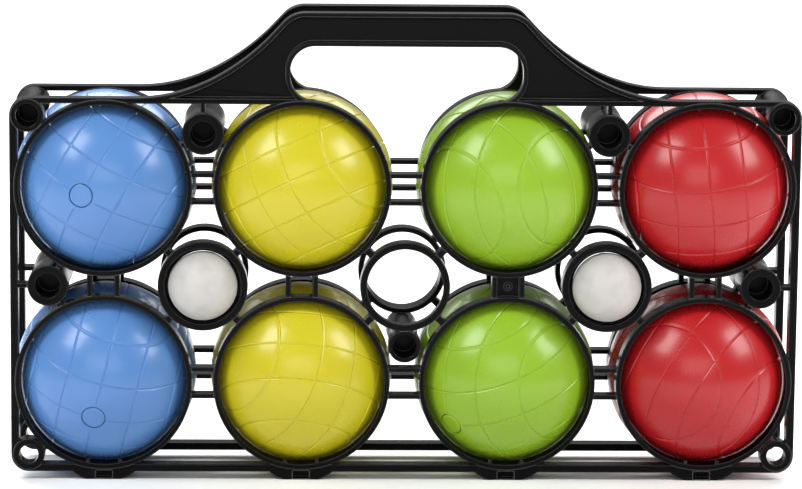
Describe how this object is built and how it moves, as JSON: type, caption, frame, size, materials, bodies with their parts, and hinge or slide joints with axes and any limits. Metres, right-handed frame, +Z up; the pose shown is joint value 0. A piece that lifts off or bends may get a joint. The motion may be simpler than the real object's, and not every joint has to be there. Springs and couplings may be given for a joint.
{
  "type": "bocce ball set",
  "caption": "Water-filled bocce balls and small target jacks held between two moulded lattice frames with a carrying handle.",
  "frame": {"origin": "on the ground plane under the feet, at the middle of the carrier's width and depth", "axes": "+X along the carrier to the red balls, +Y from the front frame to the rear frame, +Z up to the handle"},
  "size_m": [0.3866, 0.0899, 0.2309],
  "materials": {
    "frame_black": "satin moulded, fine grain",
    "ball_blue": "gloss, grooved",
    "ball_yellow": "gloss, grooved",
    "ball_green": "gloss, grooved",
    "ball_red": "gloss, grooved",
    "water": "clear water, sealed inside the balls",
    "jack_white": "smooth off-white"
  },
  "bodies": {
    "rear": {"rear_frame": "frame_black"},
    "front": {"front_frame": "frame_black"},
    "blue_upper": {"blue_upper_ball_shell": "ball_blue", "blue_upper_water_fill": "water", "blue_upper_filler_plug": "ball_blue"},
    "blue_lower": {"blue_lower_ball_shell": "ball_blue", "blue_lower_water_fill": "water", "blue_lower_filler_plug": "ball_blue"},
    "yellow_upper": {"yellow_upper_ball_shell": "ball_yellow", "yellow_upper_water_fill": "water", "yellow_upper_filler_plug": "ball_yellow"},
    "yellow_lower": {"yellow_lower_ball_shell": "ball_yellow", "yellow_lower_water_fill": "water", "yellow_lower_filler_plug": "ball_yellow"},
    "green_upper": {"green_upper_ball_shell": "ball_green", "green_upper_water_fill": "water", "green_upper_filler_plug": "ball_green"},
    "green_lower": {"green_lower_ball_shell": "ball_green", "green_lower_water_fill": "water", "green_lower_filler_plug": "ball_green"},
    "red_upper": {"red_upper_ball_shell": "ball_red", "red_upper_water_fill": "water", "red_upper_filler_plug": "ball_red"},
    "red_lower": {"red_lower_ball_shell": "ball_red", "red_lower_water_fill": "water", "red_lower_filler_plug": "ball_red"},
    "jack_left": {"jack_left": "jack_white"},
    "jack_right": {"jack_right": "jack_white"}
  },
  "joints": [
    {"name": "front_release", "type": "slide", "parent": "rear", "child": "front", "axis": [0, -1, 0], "range_m": [0, 0.2]},
    {"name": "blue_upper_lift_out", "type": "slide", "parent": "rear", "child": "blue_upper", "axis": [0, -1, 0], "range_m": [0, 0.1]},
    {"name": "blue_lower_lift_out", "type": "slide", "parent": "rear", "child": "blue_lower", "axis": [0, -1, 0], "range_m": [0, 0.1]},
    {"name": "yellow_upper_lift_out", "type": "slide", "parent": "rear", "child": "yellow_upper", "axis": [0, -1, 0], "range_m": [0, 0.1]},
    {"name": "yellow_lower_lift_out", "type": "slide", "parent": "rear", "child": "yellow_lower", "axis": [0, -1, 0], "range_m": [0, 0.1]},
    {"name": "green_upper_lift_out", "type": "slide", "parent": "rear", "child": "green_upper", "axis": [0, -1, 0], "range_m": [0, 0.1]},
    {"name": "green_lower_lift_out", "type": "slide", "parent": "rear", "child": "green_lower", "axis": [0, -1, 0], "range_m": [0, 0.1]},
    {"name": "red_upper_lift_out", "type": "slide", "parent": "rear", "child": "red_upper", "axis": [0, -1, 0], "range_m": [0, 0.1]},
    {"name": "red_lower_lift_out", "type": "slide", "parent": "rear", "child": "red_lower", "axis": [0, -1, 0], "range_m": [0, 0.1]},
    {"name": "jack_left_pull_out", "type": "slide", "parent": "front", "child": "jack_left", "axis": [0, -1, 0], "range_m": [0, 0.06]},
    {"name": "jack_right_pull_out", "type": "slide", "parent": "front", "child": "jack_right", "axis": [0, -1, 0], "range_m": [0, 0.06]}
  ],
  "couplings": [
    {"joint": "blue_upper_lift_out", "follows": "front_release", "ratio": 0.5},
    {"joint": "blue_lower_lift_out", "follows": "front_release", "ratio": 0.5},
    {"joint": "yellow_upper_lift_out", "follows": "front_release", "ratio": 0.5},
    {"joint": "yellow_lower_lift_out", "follows": "front_release", "ratio": 0.5},
    {"joint": "green_upper_lift_out", "follows": "front_release", "ratio": 0.5},
    {"joint": "green_lower_lift_out", "follows": "front_release", "ratio": 0.5},
    {"joint": "red_upper_lift_out", "follows": "front_release", "ratio": 0.5},
    {"joint": "red_lower_lift_out", "follows": "front_release", "ratio": 0.5}
  ]
}
